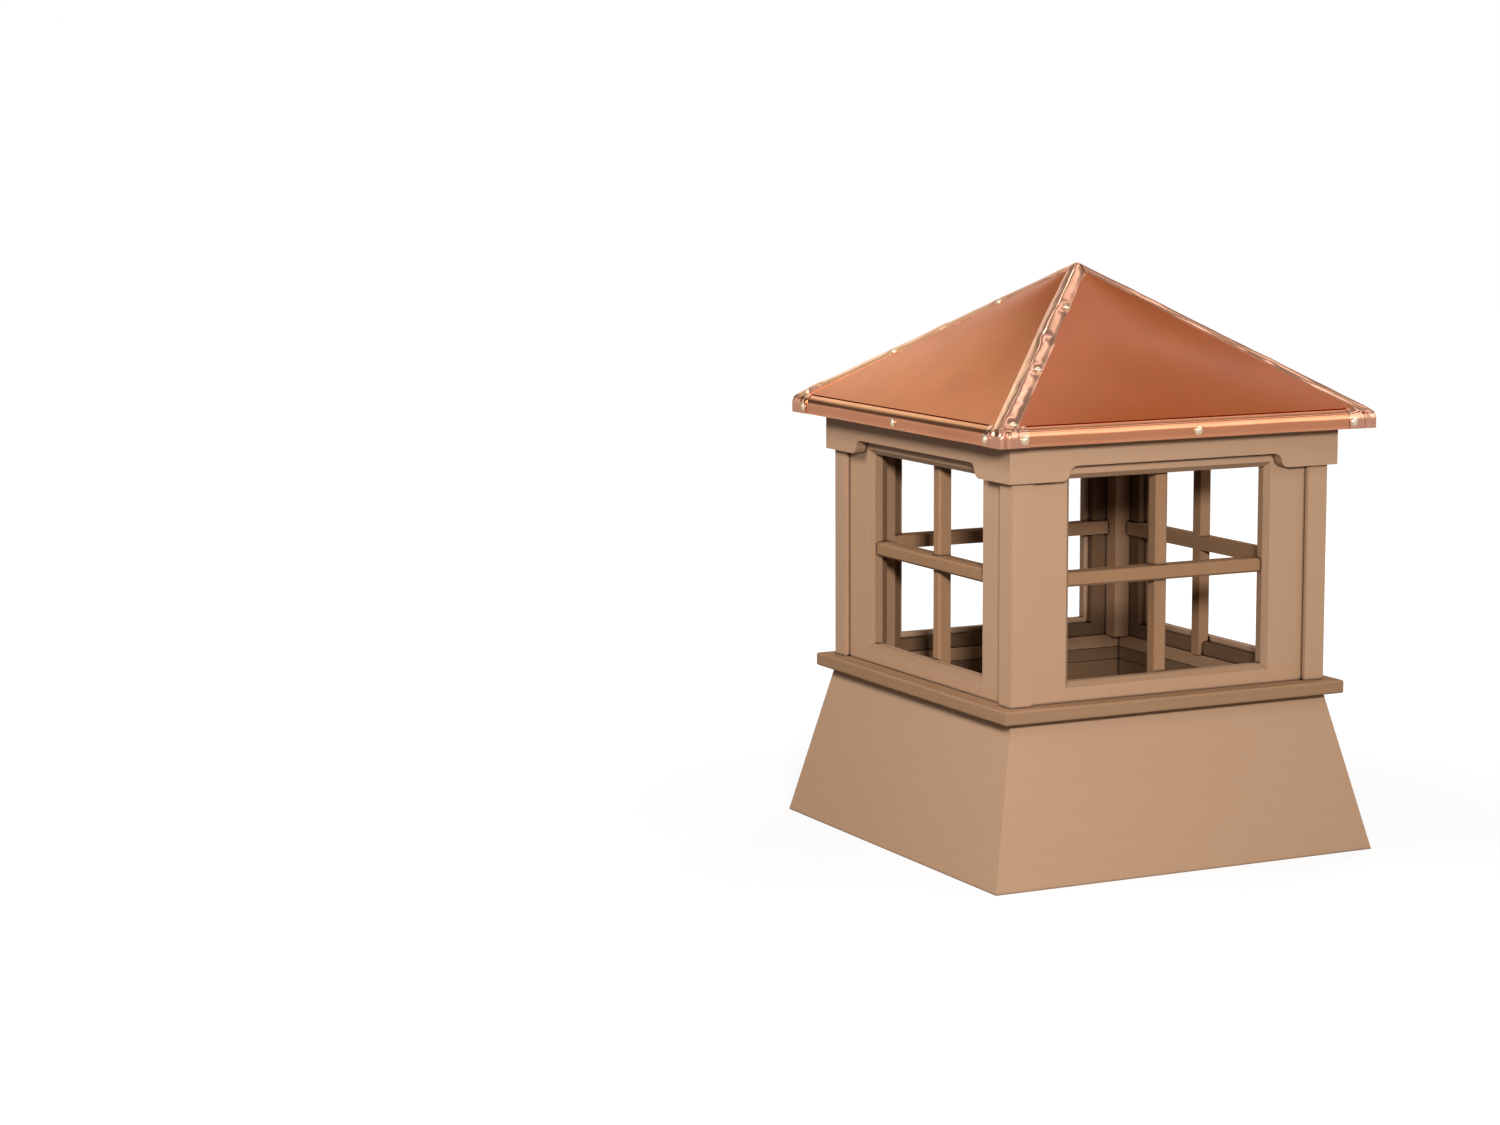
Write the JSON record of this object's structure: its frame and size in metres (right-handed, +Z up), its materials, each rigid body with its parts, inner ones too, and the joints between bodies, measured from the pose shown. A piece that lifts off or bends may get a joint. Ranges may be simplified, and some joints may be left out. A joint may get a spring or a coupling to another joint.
{
  "type": "roof cupola",
  "caption": "Square cedar-coloured roof cupola with a window in each side, a flared base, a moulded ledge and frieze, and a copper hip roof.",
  "frame": {"origin": "middle of the base's square foot, on the plane that it stands on", "axes": "+Z up, -Y out of the front window, +X to the right of someone who looks at the front"},
  "size_m": [0.6096, 0.6096, 0.8194],
  "materials": {
    "pvc": "cellular PVC board with a cedar-coloured matt finish",
    "copper": null,
    "deck": "plywood deck under the copper"
  },
  "bodies": {
    "root": {"base_batten": "pvc", "base_cleat": "pvc", "base_panel_back": "pvc", "base_panel_front": "pvc", "base_panel_left": "pvc", "base_panel_right": "pvc", "corner_board_back_left": "pvc", "corner_board_back_right": "pvc", "corner_board_front_left": "pvc", "corner_board_front_right": "pvc", "corner_clips": "copper", "eave_trim_back": "copper", "eave_trim_front": "copper", "eave_trim_left": "copper", "eave_trim_right": "copper", "frieze_back": "pvc", "frieze_front": "pvc", "frieze_left": "pvc", "frieze_right": "pvc", "hip_cap_back_left": "copper", "hip_cap_back_right": "copper", "hip_cap_front_left": "copper", "hip_cap_front_right": "copper", "inner_posts": "pvc", "ledge_back": "pvc", "ledge_front": "pvc", "ledge_left": "pvc", "ledge_right": "pvc", "roof_boards": "deck", "roof_panel_back": "copper", "roof_panel_front": "copper", "roof_panel_left": "copper", "roof_panel_right": "copper", "soffit": "deck", "wall_panel_back": "pvc", "wall_panel_front": "pvc", "wall_panel_left": "pvc", "wall_panel_right": "pvc", "window_frame_back": "pvc", "window_frame_front": "pvc", "window_frame_left": "pvc", "window_frame_right": "pvc", "window_grille_back": "pvc", "window_grille_front": "pvc", "window_grille_left": "pvc", "window_grille_right": "pvc"}
  },
  "joints": []
}
